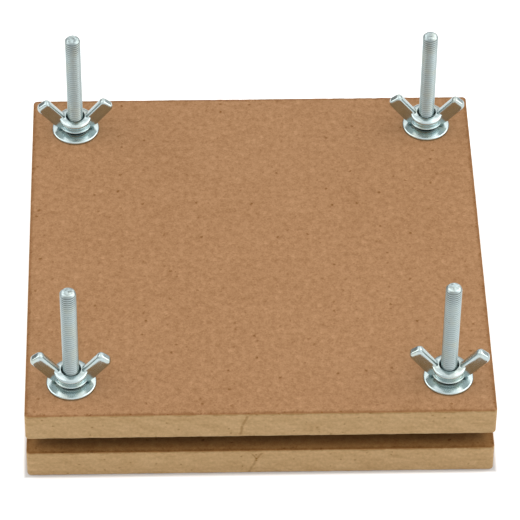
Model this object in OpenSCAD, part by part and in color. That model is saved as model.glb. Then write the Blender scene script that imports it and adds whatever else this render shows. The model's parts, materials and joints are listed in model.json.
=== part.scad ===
// Flower press: two square boards drawn together by four carriage bolts with wing nuts,
// over a stack of corrugated cardboard and blotting paper.
// The origin is the middle of the footprint on the table, +Z is up and -Y is the front.

/* [Boards] */
// Side of the two square boards
board_side = 170; // [160:1:200]
// Thickness of each board
board_t = 11.75; // [11:0.25:19]
// Radius of the four upright corners of a board
board_corner_r = 1.5; // [0.5:0.5:4]
// Width of the eased edge round both faces of a board
board_edge = 0.6; // [0.3:0.1:1.5]
// Distance of each bolt's axis from the two nearest edges of the boards
bolt_inset = 16.75; // [15:0.25:20]
// Diameter of the four holes in the top board
top_hole_d = 7; // [6.6:0.2:9]

/* [Bolts] */
// Outside diameter of the thread
thread_d = 5.9; // [5.8:0.05:5.95]
// Length of a bolt under its head
bolt_len = 70; // [60:5:100]
// Diameter of the domed head
head_d = 16.5; // [14:0.5:17]
// Height of the domed head
head_h = 3.5; // [3:0.1:4]
// Side of the square neck under the head
neck_side = 6; // [6:0.1:6.4]
// Length of the square neck
neck_len = 4; // [3:0.5:4.5]

/* [Washers] */
// Outside diameter of a washer
washer_d = 18.2; // [16:0.2:24]
// Thickness of a washer
washer_t = 1.6; // [1.2:0.1:2]
// Diameter of the hole in a washer
washer_hole_d = 6.4; // [6.2:0.1:7]

/* [Wing nuts] */
// Distance over the tips of both wings
wing_span = 28.8; // [27:0.2:32]
// Height of the wing tips above the nut's seat
wing_top = 13.2; // [12:0.1:15]
// Slope of the wings above level, in degrees
wing_angle = 51; // [42:1:54]
// Depth of a wing across its slope
wing_depth = 5.7; // [5:0.1:6.6]
// Thickness of a wing, whose two long edges are fully round
wing_t = 3.3; // [2.4:0.1:3.6]
// Height of the hub to the top of its rolled lip
hub_h = 5.5; // [5:0.1:6]
// Diameter of the hub over its rolled lip
hub_d = 12.6; // [12:0.2:14]

/* [Sheets] */
// Side of the cardboard and blotter sheets before their corners are cut
sheet_side = 150; // [140:1:150]
// Thickness of a cardboard sheet
card_t = 1.6; // [1.4:0.1:3]
// Thickness of a blotter sheet
blotter_t = 0.7; // [0.3:0.1:1.2]
// Distance between the waves inside the cardboard
flute_pitch = 3.5; // [3:0.5:7]
// Space between a bolt and the cut corner of a sheet
bolt_to_sheet = 5; // [3:0.5:8]

/* [Hidden] */
$fn = 64;

bolt_xy = board_side / 2 - bolt_inset;
// A cutter reaches this far past the faces that it opens
past = 1;

// Heights above the table: the sheets lie on the bottom board in the order
// cardboard, blotter, blotter, cardboard, blotter, blotter, cardboard
stack_z = board_t;
pair_t = card_t + 2 * blotter_t;
top_board_z = stack_z + 2 * pair_t + card_t;
washer_z = top_board_z + board_t;
nut_z = washer_z + washer_t;

// The head lies in a round recess under the bottom board, clear of the table
head_seat_z = 7.4;
head_recess_d = head_d + 1.5;
shank_hole_d = 6.4;
tip_chamfer = 0.75;

// Turn of each nut as it stands tightened, in degrees
front_left_turn = -1;
front_right_turn = -5;
back_left_turn = 2;
back_right_turn = -4;

washer_edge_r = washer_t / 2;

// The hub widens from a narrow foot to a thin round collar, and has a waist between the collar
// and the rolled lip at the mouth of the bore
nut_bore_r = thread_d / 2 + 0.07;
mouth_r = 3.7;
mouth_cone_z = 2;
mouth_floor_z = 2.6;
foot_r = 4.6;
collar_r = 0.4;
collar_centre_r = hub_d / 2 - 0.1 - collar_r;
collar_centre_z = 2.1;
underside_z = collar_centre_z - collar_r / 2;
waist_r = hub_d / 2 - 0.7;
lip_r = 1.25;
lip_centre_r = hub_d / 2 - lip_r;
lip_centre_z = hub_h - lip_r;
// Corners of a wing's square end, and the point midway between their centres
wing_corner_r = 1.6;
corner_reach = wing_depth / 2 - wing_corner_r;
wing_tip_x = wing_span / 2 - wing_corner_r - corner_reach * sin(wing_angle);
wing_tip_z = wing_top - wing_corner_r - corner_reach * cos(wing_angle);
wing_len = wing_tip_x / cos(wing_angle);
// The wings end this far above the nut's seat
wing_clearance = 0.7;
// The end's outline stands this far outside the round long edges, which it never touches
outline_gap = 0.15;

liner_t = 0.25;
wave_t = 0.25;
wave_steps = 4;
// Leg of the triangle that is cut off each corner of a sheet
corner_cut = max(2, sheet_side - 2 * bolt_xy + sqrt(2) * (thread_d / 2 + bolt_to_sheet));

board_colour = "#b58a5c";
zinc_colour = "#c9cfcf";
cardboard_colour = "#b78f63";
blotter_colour = "#efece1";

module at_bolt(side_x, side_y) {
    translate([side_x * bolt_xy, side_y * bolt_xy, 0]) children();
}

module at_all_bolts() {
    for (side_x = [-1, 1], side_y = [-1, 1]) at_bolt(side_x, side_y) children();
}

// Square with round corners, centred
module round_square(side, r) {
    square([side, side - 2 * r], center = true);
    square([side - 2 * r, side], center = true);
    for (side_x = [-1, 1], side_y = [-1, 1])
        translate([side_x * (side / 2 - r), side_y * (side / 2 - r)]) circle(r);
}

// Board seen from one side, with its long edges cut at 45 degrees and its ends left long
module eased_section() {
    half = board_side / 2 + past;
    top = board_side / 2 - board_edge;
    polygon([
        [-top, 0], [top, 0], [half, board_edge + past],
        [half, board_t - board_edge - past], [top, board_t], [-top, board_t],
        [-half, board_t - board_edge - past], [-half, board_edge + past]
    ]);
}

module eased_bar() {
    rotate([90, 0, 0])
        linear_extrude(board_side + 2 * past, center = true) eased_section();
}

// Plain board with its lower face at height 0
module board_blank() {
    intersection() {
        linear_extrude(board_t) round_square(board_side, board_corner_r);
        eased_bar();
        rotate([0, 0, 90]) eased_bar();
    }
}

// Bottom board, with a round recess, a square socket and a hole for each bolt
module bottom_board() {
    color(board_colour)
    difference() {
        board_blank();
        at_all_bolts() {
            translate([0, 0, -past]) cylinder(d = head_recess_d, h = head_seat_z + past);
            translate([0, 0, head_seat_z + neck_len / 2])
                cube([neck_side, neck_side, neck_len], center = true);
            translate([0, 0, head_seat_z]) cylinder(d = shank_hole_d, h = board_t);
        }
    }
}

// Top board, which slides up and down the bolts
module top_board() {
    color(board_colour)
    translate([0, 0, top_board_z])
    difference() {
        board_blank();
        at_all_bolts()
            translate([0, 0, -past]) cylinder(d = top_hole_d, h = board_t + 2 * past);
    }
}

// Carriage bolt standing head down: domed head, square neck and threaded shank
module carriage_bolt() {
    dome_r = (head_d * head_d / 4 + head_h * head_h) / (2 * head_h);
    shank_end = head_seat_z + bolt_len;
    color(zinc_colour) {
        translate([0, 0, head_seat_z])
            rotate_extrude()
            intersection() {
                translate([0, dome_r - head_h]) circle(dome_r, $fn = 128);
                translate([0, -head_h]) square([head_d / 2, head_h]);
            }
        translate([0, 0, head_seat_z + neck_len / 2])
            cube([neck_side, neck_side, neck_len], center = true);
        translate([0, 0, head_seat_z])
            rotate_extrude()
            polygon([
                [0, 0], [thread_d / 2, 0], [thread_d / 2, bolt_len - tip_chamfer],
                [thread_d / 2 - tip_chamfer, bolt_len], [0, bolt_len]
            ]);
    }
}

// Flat washer with its upper outer edge rolled over
module washer() {
    color(zinc_colour)
    translate([0, 0, washer_z])
    difference() {
        rotate_extrude() {
            square([washer_d / 2 - washer_edge_r, washer_t]);
            square([washer_d / 2, washer_t - washer_edge_r]);
            translate([washer_d / 2 - washer_edge_r, washer_t - washer_edge_r])
                circle(washer_edge_r);
        }
        translate([0, 0, -past]) cylinder(d = washer_hole_d, h = washer_t + 2 * past);
    }
}

// Half section of the hub: conical underside, collar, waist and rolled lip
module hub_section() {
    polygon([[0, 0], [foot_r, 0], [collar_centre_r, underside_z], [0, underside_z]]);
    translate([0, underside_z]) square([waist_r, lip_centre_z - underside_z]);
    translate([collar_centre_r, collar_centre_z]) circle(collar_r);
    translate([lip_centre_r, lip_centre_z]) circle(lip_r);
}

// Half section of what is taken out of the hub: the bore, its countersink and its wide mouth
module bore_section() {
    polygon([
        [0, -past], [nut_bore_r, -past], [nut_bore_r, mouth_cone_z],
        [mouth_r, mouth_floor_z], [mouth_r, wing_top + past], [0, wing_top + past]
    ]);
}

// Front view of the wing on the right, with a square end whose corners are round
module wing_outline() {
    depth = wing_depth / 2 + outline_gap;
    r = wing_corner_r + outline_gap;
    intersection() {
        translate([wing_tip_x, wing_tip_z]) rotate(wing_angle) {
            translate([-wing_len, -depth]) square([wing_len + wing_corner_r - r, 2 * depth]);
            translate([-wing_len, r - depth]) square([wing_len + wing_corner_r, 2 * (depth - r)]);
            for (side = [-1, 1])
                translate([wing_corner_r - r, side * (depth - r)]) circle(r);
        }
        translate([0, wing_clearance]) square([wing_span, wing_top]);
    }
}

// Wing on the right: a flat bar with fully round long edges, cut to the outline above
module wing() {
    intersection() {
        translate([wing_tip_x, 0, wing_tip_z])
            rotate([0, 90 - wing_angle, 0])
            translate([0, 0, -wing_len])
            linear_extrude(wing_len + wing_corner_r + past) {
                square([wing_depth - wing_t, wing_t], center = true);
                for (side = [-1, 1])
                    translate([side * (wing_depth - wing_t) / 2, 0]) circle(wing_t / 2);
            }
        rotate([90, 0, 0])
            linear_extrude(wing_t + 2 * past, center = true) wing_outline();
    }
}

// Wing nut as it stands on its washer, turned about its bolt
module wing_nut(turn) {
    color(zinc_colour)
    translate([0, 0, nut_z])
    rotate([0, 0, turn])
    difference() {
        union() {
            rotate_extrude() hub_section();
            wing();
            rotate([0, 0, 180]) wing();
        }
        rotate_extrude() bore_section();
    }
}

// Square sheet with its four corners cut off to pass the bolts
module sheet_outline() {
    h = sheet_side / 2;
    c = corner_cut;
    polygon([
        [c - h, -h], [h - c, -h], [h, c - h], [h, h - c],
        [h - c, h], [c - h, h], [-h, h - c], [-h, c - h]
    ]);
}

// Height of the middle of the paper wave inside a cardboard sheet
function wave_z(x) = card_t / 2
    + (card_t / 2 - liner_t - wave_t / 2) * cos(360 * x / flute_pitch);

// Hollow under one crest of the wave, down to the lower liner
module flute_hollow() {
    reach = flute_pitch / 2 - 2 * wave_t;
    polygon([
        for (i = [0:wave_steps])
            let (x = reach * (2 * i / wave_steps - 1))
            [x, max(liner_t + wave_t / 4, wave_z(x) - wave_t / 2)],
        [reach, liner_t], [-reach, liner_t]
    ]);
}

// Section across the flutes: two flat liners with a wave of paper between them
module cardboard_section() {
    count = floor((sheet_side / 2 - flute_pitch) / flute_pitch);
    difference() {
        translate([-sheet_side / 2 - past, 0]) square([sheet_side + 2 * past, card_t]);
        for (i = [-count:count]) {
            translate([i * flute_pitch, 0]) flute_hollow();
            translate([(i + 0.5) * flute_pitch, card_t]) mirror([0, 1]) flute_hollow();
        }
    }
}

// Corrugated cardboard sheet whose flutes run from front to back
module cardboard(z) {
    color(cardboard_colour)
    translate([0, 0, z])
    intersection() {
        translate([0, 0, -past]) linear_extrude(card_t + 2 * past) sheet_outline();
        rotate([90, 0, 0])
            linear_extrude(sheet_side + 2 * past, center = true) cardboard_section();
    }
}

module blotter(z) {
    color(blotter_colour)
    translate([0, 0, z]) linear_extrude(blotter_t) sheet_outline();
}

bottom_board();
top_board();
at_bolt(-1, -1) carriage_bolt();  // carriage_bolt_front_left
at_bolt(1, -1) carriage_bolt();  // carriage_bolt_front_right
at_bolt(-1, 1) carriage_bolt();  // carriage_bolt_back_left
at_bolt(1, 1) carriage_bolt();  // carriage_bolt_back_right
at_bolt(-1, -1) washer();  // washer_front_left
at_bolt(1, -1) washer();  // washer_front_right
at_bolt(-1, 1) washer();  // washer_back_left
at_bolt(1, 1) washer();  // washer_back_right
at_bolt(-1, -1) wing_nut(front_left_turn);  // wing_nut_front_left
at_bolt(1, -1) wing_nut(front_right_turn);  // wing_nut_front_right
at_bolt(-1, 1) wing_nut(back_left_turn);  // wing_nut_back_left
at_bolt(1, 1) wing_nut(back_right_turn);  // wing_nut_back_right
cardboard(stack_z);  // cardboard_bottom
blotter(stack_z + card_t);  // blotter_1
blotter(stack_z + card_t + blotter_t);  // blotter_2
cardboard(stack_z + pair_t);  // cardboard_middle
blotter(stack_z + pair_t + card_t);  // blotter_3
blotter(stack_z + pair_t + card_t + blotter_t);  // blotter_4
cardboard(stack_z + 2 * pair_t);  // cardboard_top
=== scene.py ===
import json
import math

import bmesh
import bpy
from bpy.props import FloatProperty, FloatVectorProperty, IntProperty, PointerProperty
from mathutils import Matrix, Vector, noise


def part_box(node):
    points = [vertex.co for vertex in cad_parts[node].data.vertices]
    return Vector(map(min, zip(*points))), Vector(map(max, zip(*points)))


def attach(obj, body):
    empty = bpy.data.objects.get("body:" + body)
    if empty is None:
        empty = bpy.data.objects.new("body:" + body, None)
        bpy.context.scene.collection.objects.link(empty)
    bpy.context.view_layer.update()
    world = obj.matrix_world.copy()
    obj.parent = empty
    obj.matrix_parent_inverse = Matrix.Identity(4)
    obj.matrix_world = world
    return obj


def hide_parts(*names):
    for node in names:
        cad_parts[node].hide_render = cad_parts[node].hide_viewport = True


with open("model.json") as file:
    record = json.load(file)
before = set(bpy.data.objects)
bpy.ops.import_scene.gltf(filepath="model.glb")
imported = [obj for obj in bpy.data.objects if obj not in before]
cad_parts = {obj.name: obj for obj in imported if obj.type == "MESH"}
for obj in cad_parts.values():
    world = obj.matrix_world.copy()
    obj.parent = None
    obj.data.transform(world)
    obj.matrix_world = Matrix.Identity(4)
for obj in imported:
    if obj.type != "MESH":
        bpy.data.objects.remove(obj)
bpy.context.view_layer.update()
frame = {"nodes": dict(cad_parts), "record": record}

bl_info = {
    "name": "Flower press",
    "version": (1, 0, 0),
    "blender": (4, 5, 0),
    "location": "View3D > Sidebar > Flower press",
    "description": "Dresses a bolted flower press in fibreboard, zinc plate and paper",
    "category": "Add Mesh",
}

MM = 0.001
CORNERS = ("front_left", "front_right", "back_left", "back_right")
CARDBOARDS = ("cardboard_bottom", "cardboard_middle", "cardboard_top")
BLOTTERS = ("blotter_1", "blotter_2", "blotter_3", "blotter_4")

# Steps round the turned pieces and round the boards' holes, and how far the holes' rims are broken
TURNED_COLUMNS = 96
HOLE_COLUMNS = 64
HOLE_RIM = 0.25


def box_mm(node):
    """A node's lowest and highest corners in millimetres."""
    low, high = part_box(node)
    return Vector(low) / MM, Vector(high) / MM


def size_mm(node):
    """A node's extent along x, y and z in millimetres."""
    low, high = box_mm(node)
    return high - low


def middle_mm(node):
    """The middle of a node's box in millimetres."""
    low, high = box_mm(node)
    return (low + high) / 2


def highest_beyond(node, radius):
    """The greatest height of a node further than that radius from its upright middle line."""
    middle = middle_mm(node)
    points = [vert.co / MM for vert in frame["nodes"][node].data.vertices]
    return max(point.z for point in points if (point - middle).xy.length > radius)


BOLT_AT = {corner: middle_mm(f"carriage_bolt_{corner}") for corner in CORNERS}
BOLT_LOW, BOLT_HIGH = box_mm("carriage_bolt_front_left")
# Beyond these radii a bolt has only its head, or only its head and the corners of its neck
PAST_NECK, PAST_SHANK = 7.0, 3.5
HEAD_SEAT = highest_beyond("carriage_bolt_front_left", PAST_NECK)
NECK_TOP = highest_beyond("carriage_bolt_front_left", PAST_SHANK)
HEAD_RADIUS = size_mm("carriage_bolt_front_left").x / 2
NECK_HALF = 3.0
CREST_RADIUS = 2.95
WASHER_RADIUS = size_mm("washer_front_left").x / 2
NUT_SEAT = box_mm("wing_nut_front_left")[0].z


def thread_pitch():
    """Rise of a nut in one turn, in millimetres, from the coupling of its turn to its rise."""
    for coupling in frame["record"]["behaviour"]["couplings"]:
        if coupling["joint"] == "wing_nut_front_left_turn":
            return 2 * math.pi / coupling["ratio"] / MM
    raise RuntimeError("the record has no coupling for the front left wing nut")


PITCH = thread_pitch()


class BoardSettings(bpy.types.PropertyGroup):
    face_colour: FloatVectorProperty(
        name="Face colour", description="Sanded face of the fibreboard",
        default=(0.438, 0.230, 0.105), size=3, min=0, max=1, subtype="COLOR")
    edge_colour: FloatVectorProperty(
        name="Edge colour", description="Sawn edge of the fibreboard",
        default=(0.66, 0.43, 0.208), size=3, min=0, max=1, subtype="COLOR")
    corner_radius: FloatProperty(
        name="Corner radius", description="Round of the upright corners, in millimetres",
        default=1.5, min=0.6, max=6)
    arris: FloatProperty(
        name="Arris", description="Mean radius of the worn long edges, in millimetres",
        default=0.5, min=0.2, max=1.2)


class HardwareSettings(bpy.types.PropertyGroup):
    zinc_colour: FloatVectorProperty(
        name="Zinc colour", description="Blue passivated zinc plate",
        default=(0.46, 0.545, 0.55), size=3, min=0, max=1, subtype="COLOR")
    # Strength of the painted shade in the thread's grooves
    painted_groove_shade: FloatProperty(
        name="Groove dulling", description="How much darker the zinc is in the thread's grooves",
        default=0.34, min=0, max=0.6)
    thread_depth: FloatProperty(
        name="Thread depth", description="From crest to root of the thread, in millimetres",
        default=0.42, min=0.2, max=0.7)
    columns: IntProperty(
        name="Columns", description="Steps round a bolt, a multiple of 8",
        default=48, min=24, max=96)


class NutSettings(bpy.types.PropertyGroup):
    wing_slope: FloatProperty(
        name="Wing slope", description="Rise of the wings above level",
        default=math.radians(51), min=0.7, max=0.95, subtype="ANGLE")
    wing_depth: FloatProperty(
        name="Wing depth", description="Across the slope, in millimetres",
        default=5.7, min=4, max=7)
    wing_thickness: FloatProperty(
        name="Wing thickness", description="Of the forged wings, in millimetres",
        default=3.5, min=2, max=4)
    mouth_radius: FloatProperty(
        name="Mouth radius", description="Of the wide mouth above the thread, in millimetres",
        default=3.45, min=3.3, max=4.2)
    voxel: FloatProperty(
        name="Forging grain", description="Size of the cells that blend wings and hub, in mm",
        default=0.16, min=0.12, max=0.5)


class SheetSettings(bpy.types.PropertyGroup):
    cardboard_colour: FloatVectorProperty(
        name="Cardboard colour", description="Kraft liner of the corrugated cardboard",
        default=(0.47, 0.30, 0.155), size=3, min=0, max=1, subtype="COLOR")
    blotter_colour: FloatVectorProperty(
        name="Blotter colour", description="Soft blotting paper",
        default=(0.80, 0.78, 0.71), size=3, min=0, max=1, subtype="COLOR")
    flute_pitch: FloatProperty(
        name="Flute pitch", description="Between two crests of the wave, in millimetres",
        default=3.5, min=2.5, max=7)


class StageSettings(bpy.types.PropertyGroup):
    horizon: FloatProperty(
        name="Horizon", description="Strength of the even light from low down",
        default=0.22, min=0, max=2)
    zenith: FloatProperty(
        name="Zenith", description="Strength of the even light from overhead",
        default=0.62, min=0, max=2)
    sides: FloatProperty(
        name="Side lamps", description="Power of each large lamp beside the press",
        default=5.9, min=0, unit="POWER")
    fill: FloatProperty(
        name="Fill lamp", description="Power of the lamp in front",
        default=3.3, min=0, unit="POWER")
    floor_glow: FloatProperty(
        name="Floor glow", description="What the floor adds where the camera sees it",
        default=0.62, min=0)


class Value:
    """A socket of a shader node, so that sums of sockets and numbers read as sums."""

    def __init__(self, paint, socket):
        self.paint = paint
        self.socket = socket

    def __add__(self, other):
        return self.paint.maths("ADD", self, other)

    def __radd__(self, other):
        return self.paint.maths("ADD", other, self)

    def __sub__(self, other):
        return self.paint.maths("SUBTRACT", self, other)

    def __rsub__(self, other):
        return self.paint.maths("SUBTRACT", other, self)

    def __mul__(self, other):
        return self.paint.maths("MULTIPLY", self, other)

    def __rmul__(self, other):
        return self.paint.maths("MULTIPLY", other, self)

    def __abs__(self):
        return self.paint.maths("ABSOLUTE", self)


class Paint:
    """A node material, and the few ways in which its nodes are made."""

    def __init__(self, name, tree=None):
        if tree is None:
            self.material = bpy.data.materials.new(name)
            self.material.use_nodes = True
            tree = self.material.node_tree
        self.tree = tree
        self.tree.nodes.clear()

    def node(self, kind, settings=None, inputs=None, output=0):
        """A new node of that kind, as the value of one of its outputs."""
        made = self.tree.nodes.new(kind)
        for key, setting in (settings or {}).items():
            setattr(made, key, setting)
        for key, value in (inputs or {}).items():
            if isinstance(value, Value):
                self.tree.links.new(value.socket, made.inputs[key])
            else:
                made.inputs[key].default_value = value
        return Value(self, made.outputs[output] if made.outputs else None)

    def maths(self, operation, first, second=0.0):
        """A sum on one or two values."""
        return self.node("ShaderNodeMath", {"operation": operation}, {0: first, 1: second})

    def scaled(self, vector, factors):
        return self.node("ShaderNodeVectorMath", {"operation": "MULTIPLY"}, {0: vector, 1: factors})

    def tinted(self, colour, value):
        """A colour made lighter or darker by a value round 1."""
        if not isinstance(colour, Value):
            colour = colour[:3]
        return self.node(
            "ShaderNodeVectorMath", {"operation": "SCALE"}, {0: colour, "Scale": value})

    def deepened(self, colour, change):
        """A colour changed in strength by a change round 0, more in green and most in blue."""
        return self.node("ShaderNodeVectorMath", {"operation": "MULTIPLY"}, {
            0: colour, 1: self.vector(1 + change, 1 + change * 1.3, 1 + change * 1.8)})

    def mixed(self, factor, first, second):
        """From one colour to another as factor goes from 0 to 1."""
        # The node's inputs 6 and 7 and its output 2 are those for colours
        return self.node(
            "ShaderNodeMix", {"data_type": "RGBA"}, {0: factor, 6: first, 7: second}, output=2)

    def place(self):
        """The point on the piece in millimetres, which stays with the piece as it moves."""
        at = self.node("ShaderNodeTexCoord", output="Object")
        return self.scaled(at, (1 / MM, 1 / MM, 1 / MM))

    def parts_of(self, vector):
        """The three coordinates of a vector."""
        split = self.node("ShaderNodeSeparateXYZ", inputs={0: vector}).socket.node
        return [Value(self, socket) for socket in split.outputs]

    def vector(self, x, y, z):
        return self.node("ShaderNodeCombineXYZ", inputs={0: x, 1: y, 2: z})

    def noise(self, at, scale, detail, roughness=0.5, distortion=0.0):
        """Noise round 0, mostly between -0.5 and 0.5, with features of 1/scale millimetres."""
        made = self.node("ShaderNodeTexNoise", inputs={
            "Vector": at, "Scale": scale, "Detail": detail,
            "Roughness": roughness, "Distortion": distortion})
        return made - 0.5

    def ramp(self, value, low, high):
        """0 below low and 1 above high, with a soft step between them."""
        return self.node(
            "ShaderNodeMapRange", {"interpolation_type": "SMOOTHSTEP"},
            {"Value": value, "From Min": low, "From Max": high})

    def specks(self, at, scale, size, share):
        """Small round specks in a share of the cells of a random pattern over x and y."""
        cells = self.node(
            "ShaderNodeTexVoronoi", {"voronoi_dimensions": "2D"},
            {"Vector": at, "Scale": scale}).socket.node
        distance = Value(self, cells.outputs["Distance"])
        chance = self.parts_of(Value(self, cells.outputs["Color"]))[0]
        speck = 1 - self.ramp(distance, size * 0.4, size)
        return speck * self.ramp(chance, 1 - share, 1 - share * 0.9)

    def crack(self, x, z, foot, head, width):
        """A thin line up a face from one point (x, z) to a higher one, in millimetres."""
        lean = (head[0] - foot[0]) / (head[1] - foot[1])
        off = abs(x - (z - foot[1]) * lean - foot[0])
        above_foot = self.ramp(z, foot[1] - 0.4, foot[1] + 0.2)
        below_head = 1 - self.ramp(z, head[1] - 0.2, head[1] + 0.6)
        return (1 - self.ramp(off, width * 0.2, width)) * (above_foot * below_head)

    def bump(self, height, distance, strength):
        """A normal that follows a height, of which 1 is that distance in millimetres."""
        return self.node("ShaderNodeBump", inputs={
            "Height": height, "Distance": distance * MM, "Strength": strength})

    def finish(self, **inputs):
        """Ends the material in one surface shader, whose sockets are named with underscores."""
        named = {key.replace("_", " "): value for key, value in inputs.items()}
        surface = self.node("ShaderNodeBsdfPrincipled", inputs=named)
        self.node("ShaderNodeOutputMaterial", inputs={"Surface": surface})
        return self.material


def opaque(colour):
    """A colour with the alpha that a shader's socket asks for."""
    return (*colour, 1.0)


def fibreboard_paint(settings):
    """Mottled brown faces with dark flecks, painted shade on the faces between the boards, and
    paler sawn edges.
    """
    paint = Paint("Fibreboard")
    at = paint.place()
    x, y, z = paint.parts_of(at)
    normal_z = paint.parts_of(paint.node("ShaderNodeTexCoord", output="Normal"))[2]
    face = paint.ramp(abs(normal_z), 0.45, 0.9)
    half = size_mm("top_board").x / 2
    inward = half - paint.maths("MAXIMUM", abs(x), abs(y))
    lower_top, upper_top = box_mm("bottom_board")[1].z, box_mm("top_board")[1].z

    # Sanded faces
    clouds = paint.noise(at, 0.02, 2) + paint.noise(at, 0.11, 2)
    mottle = paint.noise(paint.scaled(at, (1, 0.9, 1)), 0.45, 3, 0.62)
    fibres = paint.noise(at, 1.5, 3, 0.6, 0.8)
    ragged = paint.vector(x + fibres * 1.6, y + fibres * 1.2 + mottle * 1.5, 0.0)
    flecks = paint.specks(ragged, 0.10, 0.075, 0.30) + paint.specks(ragged, 0.24, 0.14, 0.3) * 0.5
    pale = paint.specks(ragged, 0.21, 0.24, 0.3)
    change = clouds * 0.14 + mottle * 0.66 + fibres * 0.74 - flecks * 0.36 + pale * 0.10
    face_colour = paint.deepened(settings.face_colour, change)

    # The faces at 11.75 and 19.35 mm enclose the sheets and get painted shade, lightest at the rims
    # and darker inwards
    between = paint.ramp(z, 6.0, 10.0) * (1 - paint.ramp(z, 21.0, 25.0))
    deep = 0.82 - paint.ramp(inward + mottle, 0.0, 7.0) * 0.34
    painted_gap_shade = paint.node("ShaderNodeVectorMath", {"operation": "MULTIPLY"}, {
        0: face_colour, 1: paint.vector(deep, deep * 0.94, deep * 0.62)})
    face_colour = paint.mixed(between * face, face_colour, painted_gap_shade)

    # Sawn edges
    along = x + y
    layers = paint.noise(paint.vector(along * 0.10, 0.0, z * 0.5), 1.0, 3)
    saw = paint.noise(paint.vector(along * 0.30 + z * 0.42, z * 0.10, 0.0), 1.0, 2)
    grit = paint.noise(at, 0.8, 4, 0.65)
    pits = paint.specks(paint.vector(along + grit * 1.2, z + grit, 0.0), 0.22, 0.12, 0.3)
    wavy = x + mottle * 0.8
    cracks = (
        paint.crack(wavy, z, (-7.3, 20.6), (-6.9, 24.5), 0.85)
        + paint.crack(wavy, z, (-6.9, 24.5), (-4.9, upper_top - 1.2), 0.9)
        + paint.crack(wavy, z, (-4.2, 0.3), (-1.5, 7.4), 0.8)
        + paint.crack(wavy, z, (-1.5, 7.4), (-3.2, lower_top - 1.8), 0.6)
        + paint.crack(wavy, z, (-1.5, 7.4), (0.4, lower_top - 1.5), 0.8))
    cracks = cracks * paint.ramp(-1 * y, half - 1.0, half - 0.5)
    smears = paint.noise(paint.vector(along * 0.16, z * 0.3, 5.0), 1.0, 2)
    smears = paint.ramp(smears, 0.08, 0.3)
    edge_change = layers * 0.36 + saw * 0.22 + grit * 0.56
    edge_change = edge_change - pits * 0.24 - cracks * 0.22 - smears * 0.10
    edge_colour = paint.deepened(settings.edge_colour, edge_change)

    # Arrises rubbed and chipped
    worn = paint.noise(at, 0.30, 4, 0.65)
    down = paint.maths("MINIMUM", abs(z - lower_top), abs(z - upper_top))
    rub = 1 - paint.ramp(inward + down * 1.7 + worn * 3.2, 0.4, 1.7)
    chips = paint.specks(at, 0.45, 0.22, 0.3) * (1 - paint.ramp(inward + worn * 5, 1.0, 4.0)) * face
    colour = paint.mixed(face, edge_colour, face_colour)
    colour = paint.deepened(colour, rub * -0.27 - chips * 0.20)
    height = fibres * 0.6 + grit * 0.5
    return paint.finish(
        Base_Color=colour,
        Roughness=0.78 + mottle * 0.1,
        Normal=paint.bump(height, 0.12, 0.6),
        Specular_IOR_Level=0.3,
    )


def rolled_shade(paint, shade, bloom, radius, z, groove_shade_strength):
    """A bolt's shade: painted shade in its grooves, strongest near the tip, painted shade on its
    chamfered end, and a patchy brighter sheared end face.
    """
    tip = BOLT_HIGH.z
    groove = 1 - paint.ramp(radius, 2.68, 2.93)
    end = paint.ramp(z, tip - 0.9, tip - 0.7)
    sheared = paint.ramp(z, tip - 0.16, tip - 0.08)
    nearer_tip = 1 + paint.ramp(z, tip - 9.0, tip - 3.0) * 0.9
    shade = shade * (1 - groove * (1 - end) * nearer_tip * groove_shade_strength)
    return shade * (1 - end * 0.38 + sheared * (0.3 + bloom * 2.2))


def seated_shade(paint, shade, radius, z):
    """The shade of washers and nuts: painted shade in the ring where a nut sits on its washer."""
    seat = paint.ramp(radius, 3.6, 3.9) * (1 - paint.ramp(radius, 4.9, 5.5))
    away = paint.ramp(abs(z - NUT_SEAT), 0.9, 1.5)
    return shade * (1 - seat * (1 - away) * 0.45)


def zinc_paint(name, settings, threaded):
    """Bright zinc plate, faintly blue and straw, with an uneven gloss, duller on the bolts, and
    painted shade in their grooves and at the nuts' seats.
    """
    paint = Paint(name)
    at = paint.place()
    cast = paint.noise(at, 0.22, 2)
    bloom = paint.noise(at, 0.9, 3, 0.6)
    grain = paint.noise(at, 5.0, 3, 0.6)
    red, green, blue = settings.zinc_colour
    straw = (red * 1.06, green, blue * 0.92)
    colour = paint.mixed(
        paint.ramp(cast, -0.1, 0.25), opaque(settings.zinc_colour), opaque(straw))
    shade = 1 + bloom * 0.16
    x, y, z = paint.parts_of(at)
    bolt = BOLT_AT["back_right"]
    off = paint.vector(abs(x) - bolt.x, abs(y) - bolt.y, 0.0)
    radius = paint.node("ShaderNodeVectorMath", {"operation": "LENGTH"}, {0: off}, output=1)
    if threaded:
        roughness = 0.30
        # Painted shade in the thread's grooves and on the bolt's chamfered end
        shade = rolled_shade(paint, shade, bloom, radius, z, settings.painted_groove_shade)
    else:
        roughness = 0.19
        # Painted shade in the ring where a nut sits on its washer
        shade = seated_shade(paint, shade, radius, z)
    return paint.finish(
        Base_Color=paint.tinted(colour, shade),
        Metallic=1.0,
        Roughness=roughness + bloom * 0.14 + grain * 0.05,
        Normal=paint.bump(grain * 0.4 + bloom * 2, 0.02, 0.4),
    )


def cardboard_paint(settings):
    """Kraft paper with short fibres, soft clouds and small darker bits."""
    paint = Paint("Cardboard")
    at = paint.place()
    fibres = paint.noise(paint.scaled(at, (0.5, 3, 1)), 1.2, 4, 0.6)
    clouds = paint.noise(at, 0.05, 2)
    bits = paint.specks(at, 0.6, 0.2, 0.3)
    shade = 1 + fibres * 0.3 + clouds * 0.15 - bits * 0.15
    return paint.finish(
        Base_Color=paint.tinted(opaque(settings.cardboard_colour), shade),
        Roughness=0.85 + fibres * 0.1,
        Normal=paint.bump(fibres, 0.05, 0.5),
        Specular_IOR_Level=0.25,
    )


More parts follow.
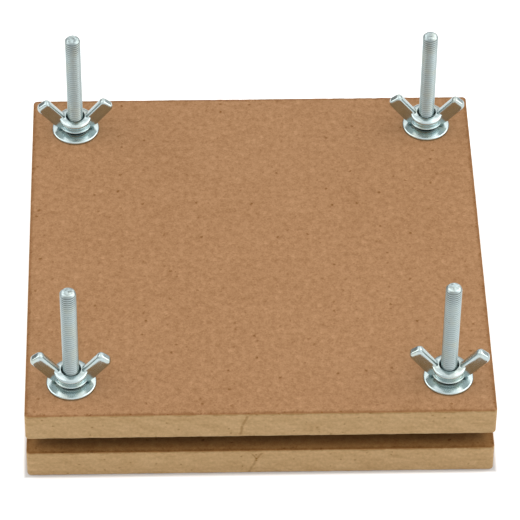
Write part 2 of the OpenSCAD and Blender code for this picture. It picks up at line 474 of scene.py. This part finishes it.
def blotter_paint(settings):
    """Soft felted paper."""
    paint = Paint("Blotting_paper")
    at = paint.place()
    felt = paint.noise(at, 1.8, 4, 0.65)
    clouds = paint.noise(at, 0.12, 2)
    return paint.finish(
        Base_Color=paint.tinted(opaque(settings.blotter_colour), 1 + felt * 0.1 + clouds * 0.06),
        Roughness=0.95 + felt * 0.06,
        Normal=paint.bump(felt, 0.12, 0.8),
        Specular_IOR_Level=0.15,
    )


def mesh_of(name, bm):
    """A mesh made of a bmesh, with its faces turned outwards. The bmesh is freed."""
    bmesh.ops.recalc_face_normals(bm, faces=bm.faces)
    mesh = bpy.data.meshes.new(name)
    bm.to_mesh(mesh)
    bm.free()
    return mesh


def dress(node, name, bm, material, body, sharp=40):
    """Makes a shown piece of a bmesh in millimetres, in a node's place and riding on its body."""
    mesh = mesh_of(name, bm)
    mesh.transform(Matrix.Scale(MM, 4))
    dress_mesh(node, name, mesh, material, body, sharp)


def dress_mesh(node, name, mesh, material, body, sharp):
    """The same for a mesh in metres. Edges that turn by more than sharp degrees stay sharp."""
    mesh.materials.clear()
    mesh.materials.append(material)
    mesh.shade_smooth()
    mesh.set_sharp_from_angle(angle=math.radians(sharp))
    piece = bpy.data.objects.new(name, mesh)
    bpy.context.scene.collection.objects.link(piece)
    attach(piece, body)
    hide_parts(node)


def add_face(bm, corners):
    """A face on the different ones of the given vertices, if there are three or more."""
    corners = list(dict.fromkeys(corners))
    if len(corners) > 2:
        bm.faces.new(corners)


def stitch(bm, lower, upper):
    """Quads between two closed rings of the same number of vertices."""
    count = len(lower)
    for i in range(count):
        j = (i + 1) % count
        add_face(bm, (lower[i], lower[j], upper[j], upper[i]))


def skin(bm, rings, capped=False):
    """Skin over a row of rings, with a face on the first and the last one if it is capped."""
    for lower, upper in zip(rings, rings[1:]):
        stitch(bm, lower, upper)
    if capped:
        bm.faces.new(rings[0])
        bm.faces.new(rings[-1])


def ring(bm, points):
    """The vertices of a ring, without its edges."""
    return [bm.verts.new(point) for point in points]


def loop_edges(bm, verts):
    """The edges that a skin has along one of its rings."""
    count = len(verts)
    return [bm.edges.get((verts[i], verts[(i + 1) % count])) for i in range(count)]


def round_points(radius, z, columns, at=(0.0, 0.0)):
    """Points of a level circle."""
    points = []
    for i in range(columns):
        angle = 2 * math.pi * i / columns
        points.append((at[0] + radius * math.cos(angle), at[1] + radius * math.sin(angle), z))
    return points


def square_points(half, least, z, columns, at=(0.0, 0.0)):
    """Points of a level square round a hole of radius least, on the same rays as a circle's."""
    points = []
    for i in range(columns):
        angle = 2 * math.pi * i / columns
        reach = half / max(abs(math.cos(angle)), abs(math.sin(angle)))
        reach = max(reach, least)
        points.append((at[0] + reach * math.cos(angle), at[1] + reach * math.sin(angle), z))
    return points


def round_outline(corners, radius, step, arc_steps=6):
    """Outline of a convex polygon with round corners, as (point, outward normal), anticlockwise."""
    outline = []
    count = len(corners)
    for i, corner in enumerate(corners):
        before = (corner - corners[i - 1]).normalized()
        after = (corners[(i + 1) % count] - corner).normalized()
        out_before = Vector((before.y, -before.x))
        out_after = Vector((after.y, -after.x))
        turn = out_before.angle_signed(out_after)
        half_turn = abs(turn) / 2
        centre = corner - (out_before + out_after).normalized() * radius / math.cos(half_turn)
        start = math.atan2(out_before.y, out_before.x)
        for k in range(arc_steps + 1):
            angle = start + 2 * half_turn * k / arc_steps
            out = Vector((math.cos(angle), math.sin(angle)))
            outline.append((centre + out * radius, out))
        next_corner = corners[(i + 1) % count]
        run_start = centre + out_after * radius
        run = (next_corner - corner).dot(after) - 2 * (corner - run_start).dot(-after)
        pieces = max(1, int(run / step))
        for k in range(1, pieces):
            outline.append((run_start + after * run * k / pieces, out_after))
    return outline


def slab(bm, outline, low, high, arris, wear, holes=()):
    """Closed slab with worn round arrises. Each hole is a list of rings from the top down."""
    def arris_ring(z, side, turn):
        """A ring of the arris, on the upright edge at no turn and on the face at a quarter turn."""
        points = []
        for point, out in outline:
            spot = Vector((point.x, point.y, z * 1.7))
            broad, fine = noise.noise(spot * 0.35), noise.noise(spot * 1.3)
            radius = max(0.15 * arris, arris * (1 + wear * broad + 0.5 * wear * fine))
            inset = radius * (1 - math.cos(turn))
            drop = radius * (1 - math.sin(turn))
            flat = point - out * inset
            points.append((flat.x, flat.y, z - side * drop))
        return ring(bm, points)

    turns = [math.radians(90 * k / 4) for k in range(5)]
    rings = [arris_ring(low, -1, turn) for turn in reversed(turns)]
    rings += [arris_ring(high, 1, turn) for turn in turns]
    skin(bm, rings)
    top_edges = loop_edges(bm, rings[-1])
    bottom_edges = loop_edges(bm, rings[0])
    for hole in holes:
        rings = [ring(bm, points) for points in hole]
        for upper, lower in zip(rings, rings[1:]):
            stitch(bm, lower, upper)
        top_edges += loop_edges(bm, rings[0])
        bottom_edges += loop_edges(bm, rings[-1])
    bmesh.ops.triangle_fill(bm, edges=top_edges, use_beauty=True, normal=(0, 0, 1))
    bmesh.ops.triangle_fill(bm, edges=bottom_edges, use_beauty=True, normal=(0, 0, -1))
    bmesh.ops.remove_doubles(bm, verts=bm.verts, dist=1e-5)


def board_outline(node, radius):
    """Outline of a board with round corners, as (point, outward normal)."""
    low, high = box_mm(node)
    corners = [
        Vector((low.x, low.y)), Vector((high.x, low.y)),
        Vector((high.x, high.y)), Vector((low.x, high.y)),
    ]
    return round_outline(corners, radius, step=1.0)


def drilled_hole(radius, top, bottom, at):
    """Rings of a hole right through a board, with slightly broken rims."""
    return [
        round_points(radius + HOLE_RIM, top, HOLE_COLUMNS, at),
        round_points(radius, top - HOLE_RIM, HOLE_COLUMNS, at),
        round_points(radius, bottom + HOLE_RIM, HOLE_COLUMNS, at),
        round_points(radius + HOLE_RIM, bottom, HOLE_COLUMNS, at),
    ]


def head_socket(top, at):
    """Rings of a bolt's hole in the bottom board: shank hole, square socket, round head recess."""
    shank, recess = 3.2, HEAD_RADIUS + 0.75
    return [
        round_points(shank + HOLE_RIM, top, HOLE_COLUMNS, at),
        round_points(shank, top - HOLE_RIM, HOLE_COLUMNS, at),
        round_points(shank, NECK_TOP, HOLE_COLUMNS, at),
        square_points(NECK_HALF, shank, NECK_TOP, HOLE_COLUMNS, at),
        square_points(NECK_HALF, shank, HEAD_SEAT, HOLE_COLUMNS, at),
        round_points(recess, HEAD_SEAT, HOLE_COLUMNS, at),
        round_points(recess, 2 * HOLE_RIM, HOLE_COLUMNS, at),
        round_points(recess + HOLE_RIM, 0.0, HOLE_COLUMNS, at),
    ]


class PRESS_OT_boards(bpy.types.Operator):
    """Makes the two fibreboard plates with their worn arrises and drilled holes"""
    bl_idname = "press.boards"
    bl_label = "Boards"

    def execute(self, context):
        settings = context.scene.press_boards
        material = fibreboard_paint(settings)
        for node, body in (("bottom_board", "base"), ("top_board", "top_board")):
            low, high = box_mm(node)
            holes = []
            for corner in CORNERS:
                at = BOLT_AT[corner].xy
                if node == "top_board":
                    holes.append(drilled_hole(radius=3.5, top=high.z, bottom=low.z, at=at))
                else:
                    holes.append(head_socket(high.z, at))
            outline = board_outline(node, settings.corner_radius)
            bm = bmesh.new()
            slab(bm, outline, low.z, high.z, settings.arris, wear=0.45, holes=holes)
            dress(node, f"Board_{node.split('_')[0]}", bm, material, body)
        return {"FINISHED"}


# Corners of the thread's section over one pitch, as (share of the pitch, share of the depth)
THREAD_STEPS = ((0.0, 0.0), (0.11, 0.06), (0.43, 0.94), (0.5, 1.0), (0.57, 0.94), (0.89, 0.06))


def thread_depth_at(fraction, depth):
    """How far below its crest a rolled thread lies at a fraction of its pitch."""
    steps = THREAD_STEPS + ((1.0, 0.0),)
    for (start, first), (end, second) in zip(steps, steps[1:]):
        if fraction <= end:
            return depth * (first + (second - first) * (fraction - start) / (end - start))
    return 0.0


def screw_skin(bm, crest, depth, low, high, columns, limit):
    """Skin of a right-hand thread between two heights. Returns its lower and upper rims.

    limit(z, radius) gives the radius that the skin has where the thread alone would have that one.
    """
    made = {}

    def vert(i, z):
        """The one vertex of a column at a height, which is kept between low and high."""
        z = min(max(z, low), high)
        key = (i % columns, round(z * 1e5))
        if key not in made:
            turn = i / columns
            fraction = (z / PITCH - turn) % 1.0
            radius = limit(z, crest - thread_depth_at(fraction, depth))
            angle = 2 * math.pi * turn
            made[key] = bm.verts.new((radius * math.cos(angle), radius * math.sin(angle), z))
        return made[key]

    first = math.floor(low / PITCH) - 1
    last = math.ceil(high / PITCH) + 1
    heights = [(turn + step) * PITCH for turn in range(first, last) for step, _ in THREAD_STEPS]
    for below, above in zip(heights, heights[1:]):
        for i in range(columns):
            lift, next_lift = PITCH * i / columns, PITCH * (i + 1) / columns
            add_face(bm, (
                vert(i, below + lift), vert(i + 1, below + next_lift),
                vert(i + 1, above + next_lift), vert(i, above + lift)))
    return [vert(i, low) for i in range(columns)], [vert(i, high) for i in range(columns)]


def cap(bm, rim, rings, middle_z):
    """Closes a rim with rings of (radius, height) and a point in the middle."""
    columns = len(rim)
    rims = [rim] + [ring(bm, round_points(radius, z, columns)) for radius, z in rings]
    skin(bm, rims)
    centre = bm.verts.new((0.0, 0.0, middle_z))
    for i in range(columns):
        bm.faces.new((rims[-1][i], rims[-1][(i + 1) % columns], centre))


def carriage_bolt(settings):
    """Bolt at the origin in millimetres: domed head, square neck, rolled thread and rounded tip."""
    bm = bmesh.new()
    columns = settings.columns
    shank = CREST_RADIUS - 0.05
    thread_start = NECK_TOP + 2.0
    tip, tip_radius, chamfer_height = BOLT_HIGH.z, 2.2, 0.7
    crown = 0.08

    def limit(z, radius):
        """Lets the thread run out into the shank, and keeps it within the chamfer of the tip."""
        drop = min(1.0, max(0.0, tip - crown - z) / chamfer_height)
        chamfer = tip_radius + (CREST_RADIUS - tip_radius) * drop ** 0.8
        run_out = shank - max(0.0, z - thread_start) * 0.5
        return min(max(radius, run_out), chamfer)

    lower, upper = screw_skin(
        bm, CREST_RADIUS, settings.thread_depth, thread_start, tip - crown, columns, limit)
    cap(bm, upper, [(2.0, tip - 0.01), (0.9, tip)], tip)
    half, soft = NECK_HALF, 0.2
    head, dome_low = HEAD_RADIUS, BOLT_LOW.z
    rims = [lower] + [ring(bm, points) for points in (
        round_points(shank, NECK_TOP, columns),
        square_points(half - soft, shank, NECK_TOP, columns),
        square_points(half, 0.0, NECK_TOP - soft, columns),
        square_points(half, 0.0, HEAD_SEAT, columns),
        round_points(head - 0.2, HEAD_SEAT, columns),
        round_points(head, HEAD_SEAT - 0.25, columns),
    )]
    skin(bm, rims)
    dome_height = HEAD_SEAT - dome_low
    dome = (head * head + dome_height * dome_height) / (2 * dome_height)
    rings = []
    dome_steps = 12
    for k in range(1, dome_steps):
        radius = head * math.cos(math.pi / 2 * k / dome_steps)
        rings.append((radius, dome_low + dome - math.sqrt(dome * dome - radius * radius)))
    cap(bm, rims[-1], rings, dome_low)
    bmesh.ops.remove_doubles(bm, verts=bm.verts, dist=1e-5)
    return bm


def placed_copy(bm, at):
    """The same shape, set at a bolt."""
    copy = bm.copy()
    bmesh.ops.translate(copy, vec=(at.x, at.y, 0.0), verts=copy.verts)
    return copy


class PRESS_OT_bolts(bpy.types.Operator):
    """Makes the four carriage bolts with their rolled threads"""
    bl_idname = "press.bolts"
    bl_label = "Carriage bolts"

    def execute(self, context):
        settings = context.scene.press_hardware
        material = zinc_paint("Rolled_zinc", settings, threaded=True)
        bolt = carriage_bolt(settings)
        for corner in CORNERS:
            copy = placed_copy(bolt, BOLT_AT[corner])
            dress(f"carriage_bolt_{corner}", f"Bolt_{corner}", copy, material, "base")
        bolt.free()
        return {"FINISHED"}


def zinc(context):
    """The zinc material of the washers and nuts, made when it is first asked for."""
    found = bpy.data.materials.get("Zinc_plate")
    return found or zinc_paint("Zinc_plate", context.scene.press_hardware, threaded=False)


def turned(bm, section):
    """Closed ring turned from a closed section of (radius, height)."""
    rings = [ring(bm, round_points(radius, z, TURNED_COLUMNS)) for radius, z in section]
    skin(bm, rings + rings[:1])


def washer_section(low, high):
    """Section of a stamped washer, its upper rim rolled over by the punch, its lower one sharp."""
    bore, rim = 3.2, WASHER_RADIUS
    roll_in, roll_down, fall = 0.65, 0.6, 0.42
    section = [(bore + 0.1, low), (rim - 0.15, low), (rim, low + 0.15)]
    for k in range(9):
        angle = math.pi / 2 * k / 8
        inset = roll_in * (1 - math.cos(angle))
        section.append((rim - inset, high - fall - roll_down * (1 - math.sin(angle))))
    section += [(7.5, high - 0.15), (6.6, high - 0.04), (6.0, high)]
    section += [(bore + 0.35, high), (bore, high - 0.3), (bore, low + 0.1)]
    return section


class PRESS_OT_washers(bpy.types.Operator):
    """Makes the four stamped washers"""
    bl_idname = "press.washers"
    bl_label = "Washers"

    def execute(self, context):
        material = zinc(context)
        low, high = box_mm("washer_front_left")
        washer = bmesh.new()
        turned(washer, washer_section(low.z, high.z))
        for corner in CORNERS:
            node = f"washer_{corner}"
            copy = placed_copy(washer, BOLT_AT[corner])
            dress(node, f"Washer_{corner}", copy, material, node, sharp=50)
        washer.free()
        return {"FINISHED"}


def hub_section():
    """Half section of a nut's hub before its collar and mouth: conical foot, waist, rolled lip."""
    return [
        (0.4, 0.0), (4.7, 0.0), (4.85, 0.25), (5.3, 1.1), (5.5, 1.5), (5.52, 2.2), (5.52, 2.9),
        (5.64, 3.25), (5.98, 3.7), (6.23, 4.15), (6.2, 4.5), (6.0, 4.83), (5.65, 5.1), (5.15, 5.31),
        (4.55, 5.46), (3.9, 5.54), (3.0, 5.56), (0.4, 5.56),
    ]


def collar_section():
    """Half section of the thin collar that runs round the hub above its seat."""
    return [
        (4.2, 1.0), (5.3, 1.16), (5.85, 1.38), (6.05, 1.5), (6.14, 1.66), (6.13, 1.84),
        (6.02, 1.97), (5.8, 2.03), (5.3, 2.1), (4.2, 2.2),
    ]


def saddle_lift(radius, z, angle):
    """How far the lip rises towards the two wings above where it stands in front."""
    share = min(1.0, max(0.0, (z - 2.8) / 1.2))
    return share * (0.1 + 0.5 * max(0.0, radius - 4.0)) * abs(math.cos(angle)) ** 6


def add_hub(bm):
    """The hub with a lip that climbs into the wings on both sides, and a pinhole for its bore."""
    rings = []
    for radius, z in hub_section():
        points = []
        for x, y, height in round_points(radius, z, TURNED_COLUMNS):
            points.append((x, y, height + saddle_lift(radius, z, math.atan2(y, x))))
        rings.append(ring(bm, points))
    skin(bm, rings + rings[:1])


def add_wing(bm, settings, side):
    """One forged wing: a bar with soft long edges that swells a little towards its end."""
    depth, thickness = settings.wing_depth, settings.wing_thickness
    slope = settings.wing_slope
    span = size_mm("wing_nut_back_left").x / 2
    top = size_mm("wing_nut_front_left").z
    corner, root, clearance = 1.6, 4.2, 0.75
    # Powers of sine and cosine below 1 make the bar's section squarer than a circle
    square_edge, square_side = 0.36, 0.58
    columns = 32
    reach = depth / 2 - corner
    tip = Vector((
        span - corner - reach * math.sin(slope), 0.0, top - corner - reach * math.cos(slope)))
    stations = [0.0, 0.3, 0.6, 0.85]
    stations += [1 + math.sin(math.radians(angle)) for angle in (0, 20, 40, 60, 75, 85)]
    rings = []
    for station in stations:
        past_end = max(0.0, station - 1) * corner
        inset = corner - math.sqrt(corner * corner - past_end * past_end)
        half_depth = depth / 2 - inset
        half_thick = thickness / 2 * (0.93 + 0.07 * min(1.0, station)) - inset * 0.5
        points = []
        for i in range(columns):
            angle = 2 * math.pi * i / columns
            c, s = math.cos(angle), math.sin(angle)
            across = math.copysign(abs(c) ** square_edge, c) * half_depth
            through = math.copysign(abs(s) ** square_side, s) * half_thick
            # The root is cut upright, so that its upper edge starts at the lip, clear of the mouth
            back = (root - tip.x - across * math.sin(slope)) / math.cos(slope)
            points.append((across, through, past_end + back * max(0.0, 1 - station)))
        rings.append(ring(bm, points))
    skin(bm, rings, capped=True)
    turn = Matrix.Rotation(math.pi / 2 - slope, 4, "Y")
    place = Matrix.Translation(tip) @ turn
    if side < 0:
        place = Matrix.Rotation(math.pi, 4, "Z") @ place
    verts = [vert for points in rings for vert in points]
    bmesh.ops.transform(bm, matrix=place, verts=verts)
    for vert in verts:
        vert.co.z = max(vert.co.z, clearance)


def scratch_object(name, bm):
    """Object for a modifier to work on or with, which is deleted again."""
    made = bpy.data.objects.new(name, mesh_of(name, bm))
    bpy.context.scene.collection.objects.link(made)
    return made


def settled_mesh(made, name):
    """The mesh that an object's modifiers give."""
    bpy.context.view_layer.update()
    shown = made.evaluated_get(bpy.context.evaluated_depsgraph_get())
    mesh = bpy.data.meshes.new_from_object(shown)
    mesh.name = name
    return mesh


def thread_tap(hardware):
    """What the tap cuts from a nut: its thread, from below its seat up into its mouth."""
    root_radius, low, high = 3.02, -0.6, 3.4
    bm = bmesh.new()
    lower, upper = screw_skin(
        bm, root_radius, hardware.thread_depth, low, high, hardware.columns,
        lambda z, radius: radius)
    cap(bm, lower, [], low)
    cap(bm, upper, [], high)
    return bm


def mouth_cutter(wide):
    """What is cut from a nut above its thread: a funnel, a bore of that radius and a soft rim."""
    section = [
        (2.6, 1.9), (wide - 0.1, 2.8), (wide, 3.4), (wide, 5.0), (wide + 0.1, 5.3),
        (wide + 0.3, 5.56), (wide + 0.4, 30.0),
    ]
    bm = bmesh.new()
    rings = [ring(bm, round_points(radius, z, TURNED_COLUMNS)) for radius, z in section]
    skin(bm, rings, capped=True)
    return bm


def collar_ring():
    """The thin collar that is joined to the hub."""
    bm = bmesh.new()
    turned(bm, collar_section())
    return bm


def forged_nut(settings, hardware):
    """Wing nut at the origin in millimetres, its wings blended into the hub and its bore tapped."""
    blank = bmesh.new()
    add_hub(blank)
    for side in (1, -1):
        add_wing(blank, settings, side)
    nut = scratch_object("Nut_blank", blank)
    remesh = nut.modifiers.new("Blend", "REMESH")
    remesh.mode = "VOXEL"
    remesh.voxel_size = settings.voxel
    smooth = nut.modifiers.new("Soften", "SMOOTH")
    smooth.factor = 0.5
    smooth.iterations = 6

    tools = (
        ("UNION", scratch_object("Nut_collar", collar_ring())),
        ("DIFFERENCE", scratch_object("Nut_mouth", mouth_cutter(settings.mouth_radius))),
        ("DIFFERENCE", scratch_object("Nut_thread", thread_tap(hardware))),
    )
    for operation, tool in tools:
        step = nut.modifiers.new(tool.name, "BOOLEAN")
        step.operation = operation
        step.solver = "EXACT"
        step.object = tool
    mesh = settled_mesh(nut, "Nut")
    for scratch in (nut, *(tool for _, tool in tools)):
        old = scratch.data
        bpy.data.objects.remove(scratch)
        bpy.data.meshes.remove(old)
    return mesh


# How each nut stands tightened, in degrees about its bolt
NUT_TURNS = {"front_left": -1, "front_right": -5, "back_left": 2, "back_right": -4}


class PRESS_OT_wing_nuts(bpy.types.Operator):
    """Makes the four forged wing nuts"""
    bl_idname = "press.wing_nuts"
    bl_label = "Wing nuts"

    def execute(self, context):
        material = zinc(context)
        nut = forged_nut(context.scene.press_nuts, context.scene.press_hardware)
        for corner in CORNERS:
            node = f"wing_nut_{corner}"
            at = BOLT_AT[corner]
            place = Matrix.Translation((at.x, at.y, NUT_SEAT))
            turn = Matrix.Rotation(math.radians(NUT_TURNS[corner]), 4, "Z")
            mesh = nut.copy()
            mesh.transform(Matrix.Scale(MM, 4) @ place @ turn)
            dress_mesh(node, f"Wing_nut_{corner}", mesh, material, node, sharp=60)
        bpy.data.meshes.remove(nut)
        return {"FINISHED"}


def sheet_corners(node):
    """The eight corners of a sheet, anticlockwise, measured on its construction solid."""
    seen = set()
    for vert in frame["nodes"][node].data.vertices:
        x, y = round(vert.co.x / MM, 2), round(vert.co.y / MM, 2)
        seen.add((x, y))
    half = max(x for x, y in seen)
    flat = max(y for x, y in seen if abs(x - half) < 0.01)
    points = [(flat, -half), (half, -flat), (half, flat), (flat, half)]
    points += [(-flat, half), (-half, flat), (-half, -flat), (-flat, -half)]
    return [Vector(point) for point in points]


def paper_layer(bm, xs, reach, lower, upper):
    """Closed layer between two curves over x, as deep from front to back as reach allows."""
    rings = []
    for x in xs:
        y = reach(x)
        rings.append(ring(bm, (
            (x, -y, lower(x)), (x, y, lower(x)), (x, y, upper(x)), (x, -y, upper(x)))))
    skin(bm, rings, capped=True)


def corrugated_board(node, pitch):
    """A sheet of cardboard in millimetres: two liners that ripple a little, and a wave of paper."""
    low, high = box_mm(node)
    half = high.x
    slant = sheet_corners(node)[0].x + half
    middle = (low.z + high.z) / 2
    liner, paper, bite = 0.28, 0.2, 0.02
    swing = (high.z - low.z - 2 * liner - paper) / 2 + bite
    steps = int(2 * half / (pitch / 8))
    xs = [-half + 2 * half * k / steps for k in range(steps + 1)]

    def reach(x):
        return min(half, slant - abs(x))

    def wave(x):
        return middle + swing * math.cos(2 * math.pi * x / pitch)

    def ripple(x):
        return 0.035 * (1 - math.cos(2 * math.pi * x / pitch))

    bm = bmesh.new()
    paper_layer(
        bm, xs, reach, lambda x: low.z + ripple(x + pitch / 2) * 0.5, lambda x: low.z + liner)
    paper_layer(bm, xs, reach, lambda x: wave(x) - paper / 2, lambda x: wave(x) + paper / 2)
    paper_layer(bm, xs, reach, lambda x: high.z - liner, lambda x: high.z - ripple(x))
    return bm


class PRESS_OT_cardboard(bpy.types.Operator):
    """Makes the corrugated cardboard sheets, with liners and a real wave of paper"""
    bl_idname = "press.cardboard"
    bl_label = "Cardboard"

    def execute(self, context):
        settings = context.scene.press_sheets
        material = cardboard_paint(settings)
        for node in CARDBOARDS:
            bm = corrugated_board(node, settings.flute_pitch)
            dress(node, f"Cardboard_{node.split('_')[1]}", bm, material, node)
        return {"FINISHED"}


class PRESS_OT_blotters(bpy.types.Operator):
    """Makes the soft blotting sheets"""
    bl_idname = "press.blotters"
    bl_label = "Blotters"

    def execute(self, context):
        material = blotter_paint(context.scene.press_sheets)
        for node in BLOTTERS:
            low, high = box_mm(node)
            outline = round_outline(sheet_corners(node), radius=0.6, step=2.0, arc_steps=3)
            bm = bmesh.new()
            slab(bm, outline, low.z, high.z, arris=0.22, wear=0.6)
            dress(node, f"Blotter_{node.split('_')[1]}", bm, material, node)
        return {"FINISHED"}


def set_camera(scene):
    """Camera of the photograph: a long lens, level to a degree, looking down at 44 degrees."""
    image_side, focal = 520, 3511.05
    board = size_mm("top_board").x * MM
    top = box_mm("top_board")[1].z * MM
    # From the middle of the top board's face, in widths of the board
    place = Vector((-0.1822, -5.5762, 5.4053)) * board + Vector((0, 0, top))
    fall, swing, roll = math.radians(44.269), math.radians(1.98), math.radians(0.689)
    forward = Vector((
        math.sin(swing) * math.cos(fall), math.cos(swing) * math.cos(fall), -math.sin(fall)))
    right = Vector((math.cos(swing), -math.sin(swing), 0.0))
    up = right.cross(forward)
    right, up = (
        right * math.cos(roll) + up * math.sin(roll),
        up * math.cos(roll) - right * math.sin(roll))
    lens = bpy.data.cameras.new("Camera")
    lens.sensor_width = 36.0
    lens.lens = focal / image_side * lens.sensor_width
    lens.clip_start = 0.01
    camera = bpy.data.objects.new("Camera", lens)
    turn = Matrix((right, up, -forward)).transposed()
    camera.matrix_world = Matrix.Translation(place) @ turn.to_4x4()
    scene.collection.objects.link(camera)
    scene.camera = camera


def ray_shares(paint):
    """1 for the rays that the camera sees, also through glass, and 1 for those off metal."""
    rays = paint.node("ShaderNodeLightPath").socket.node
    camera = Value(paint, rays.outputs["Is Camera Ray"])
    glossy = Value(paint, rays.outputs["Is Glossy Ray"])
    through = Value(paint, rays.outputs["Is Transmission Ray"])
    return paint.maths("MAXIMUM", camera, through), glossy


def mirrored_room(air, across, back, height):
    """How bright the room is that metal mirrors, by direction: to the right, the back and up."""
    walls = 0.80 + air.ramp(height, 0.02, 0.6) * 0.06 + air.ramp(across, -0.9, 0.9) * 0.42
    dark_back = air.ramp(back, 0.2, 0.6) * (1 - air.ramp(height, 0.1, 0.48)) * 0.6
    high = air.ramp(height, 0.5, 0.7)
    high_back = high * air.ramp(back, 0.3, 0.5) * air.ramp(abs(across), 0.07, 0.16) * 0.8
    high_front = high * air.ramp(0 - back, 0.4, 0.7) * 0.14
    right_panel = air.ramp(across * 0.79 - back * 0.25 + height * 0.56, 0.85, 0.97) * 0.5
    overhead = air.ramp(height, 0.84, 0.95) * 0.28
    side_panels = air.ramp(abs(across) * 0.845 + back * 0.16 + height * 0.51, 0.95, 0.985) * 0.9
    return walls - dark_back + high_back + high_front + right_panel + overhead + side_panels


def set_world(scene, settings):
    """Even light, stronger from above, with the room for metal and white for the camera."""
    world = bpy.data.worlds.new("Studio")
    world.use_nodes = True
    scene.world = world
    air = Paint("Studio", world.node_tree)
    straight, mirrored = ray_shares(air)
    across, back, height = air.parts_of(air.node("ShaderNodeTexCoord", output="Generated"))
    light = settings.horizon + air.ramp(height, 0.0, 1.0) * (settings.zenith - settings.horizon)
    light = light + mirrored * (mirrored_room(air, across, back, height) - light)
    strength = light + straight * (1 - light)
    sky = air.node("ShaderNodeBackground", inputs={"Color": (1, 1, 1, 1), "Strength": strength})
    air.node("ShaderNodeOutputWorld", inputs={"Surface": sky})


def set_floor(scene, glow):
    """Pale floor that goes over into white a little way from the press: it keeps its real shadow,
    and its glow fades out near the press's footprint as a painted contact shadow.
    """
    paint = Paint("Floor")
    seen = paint.maths("MAXIMUM", *ray_shares(paint))
    x, y = paint.parts_of(paint.place())[:2]
    # The glow fades out within 2.2 mm of the bottom board's footprint: a painted contact shadow
    outside = paint.maths("MAXIMUM", abs(x), abs(y)) - size_mm("bottom_board").x / 2
    seen = seen * paint.ramp(outside, 0.3, 2.2)
    paint.finish(
        Base_Color=(0.78, 0.78, 0.78, 1), Roughness=1.0, Specular_IOR_Level=0.0,
        Emission_Color=paint.mixed(seen, (0, 0, 0, 1), (1, 1, 1, 1)),
        Emission_Strength=glow)
    side, level = 6.0, -0.02 * MM
    mesh = bpy.data.meshes.new("Floor")
    mesh.from_pydata(
        [(-side, -side, level), (side, -side, level), (side, side, level), (-side, side, level)],
        [], [(0, 1, 2, 3)])
    mesh.materials.append(paint.material)
    floor = bpy.data.objects.new("Floor", mesh)
    scene.collection.objects.link(floor)


def lamp(scene, name, place, side, power, mirrored=True):
    """Square lamp turned to the press, its side in metres, which metal mirrors or doesn't."""
    light = bpy.data.lights.new(name, "AREA")
    light.shape = "SQUARE"
    light.size = side
    light.energy = power
    made = bpy.data.objects.new(name, light)
    made.location = place
    made.visible_glossy = mirrored
    press_middle = Vector((0, 0, 0.03))
    made.rotation_euler = (press_middle - Vector(place)).to_track_quat("-Z", "Y").to_euler()
    scene.collection.objects.link(made)


class PRESS_OT_stage(bpy.types.Operator):
    """Sets the floor, the even light, the lamps and the camera"""
    bl_idname = "press.stage"
    bl_label = "Stage"

    def execute(self, context):
        scene = context.scene
        settings = scene.press_stage
        scene.view_settings.view_transform = "Standard"
        set_world(scene, settings)
        set_floor(scene, settings.floor_glow)
        for name, beside in (("Left_lamp", -0.95), ("Right_lamp", 0.95)):
            lamp(scene, name, (beside, 0.15, 0.95), side=1.3, power=settings.sides)
        lamp(scene, "Fill_lamp", (0.1, -1.0, 1.1), side=0.8, power=settings.fill, mirrored=False)
        set_camera(scene)
        return {"FINISHED"}


OPERATORS = (
    PRESS_OT_stage, PRESS_OT_boards, PRESS_OT_bolts, PRESS_OT_washers,
    PRESS_OT_wing_nuts, PRESS_OT_cardboard, PRESS_OT_blotters,
)
SETTINGS = {
    "press_boards": BoardSettings,
    "press_hardware": HardwareSettings,
    "press_nuts": NutSettings,
    "press_sheets": SheetSettings,
    "press_stage": StageSettings,
}


class PRESS_PT_panel(bpy.types.Panel):
    """Lists the steps that dress the press"""
    bl_idname = "PRESS_PT_panel"
    bl_label = "Flower press"
    bl_space_type = "VIEW_3D"
    bl_region_type = "UI"
    bl_category = "Flower press"

    def draw(self, context):
        for name, group in SETTINGS.items():
            column = self.layout.column(align=True)
            settings = getattr(context.scene, name)
            for key in group.__annotations__:
                column.prop(settings, key)
        for operator in OPERATORS:
            self.layout.operator(operator.bl_idname)


def register():
    for name, group in SETTINGS.items():
        bpy.utils.register_class(group)
        setattr(bpy.types.Scene, name, PointerProperty(type=group))
    for made in (*OPERATORS, PRESS_PT_panel):
        bpy.utils.register_class(made)


def unregister():
    for made in reversed((*OPERATORS, PRESS_PT_panel)):
        bpy.utils.unregister_class(made)
    for name, group in SETTINGS.items():
        delattr(bpy.types.Scene, name)
        bpy.utils.unregister_class(group)


def main():
    register()
    bpy.ops.press.stage()
    bpy.ops.press.boards()
    bpy.ops.press.bolts()
    bpy.ops.press.washers()
    bpy.ops.press.wing_nuts()
    bpy.ops.press.cardboard()
    bpy.ops.press.blotters()


if __name__ == "__main__":
    main()
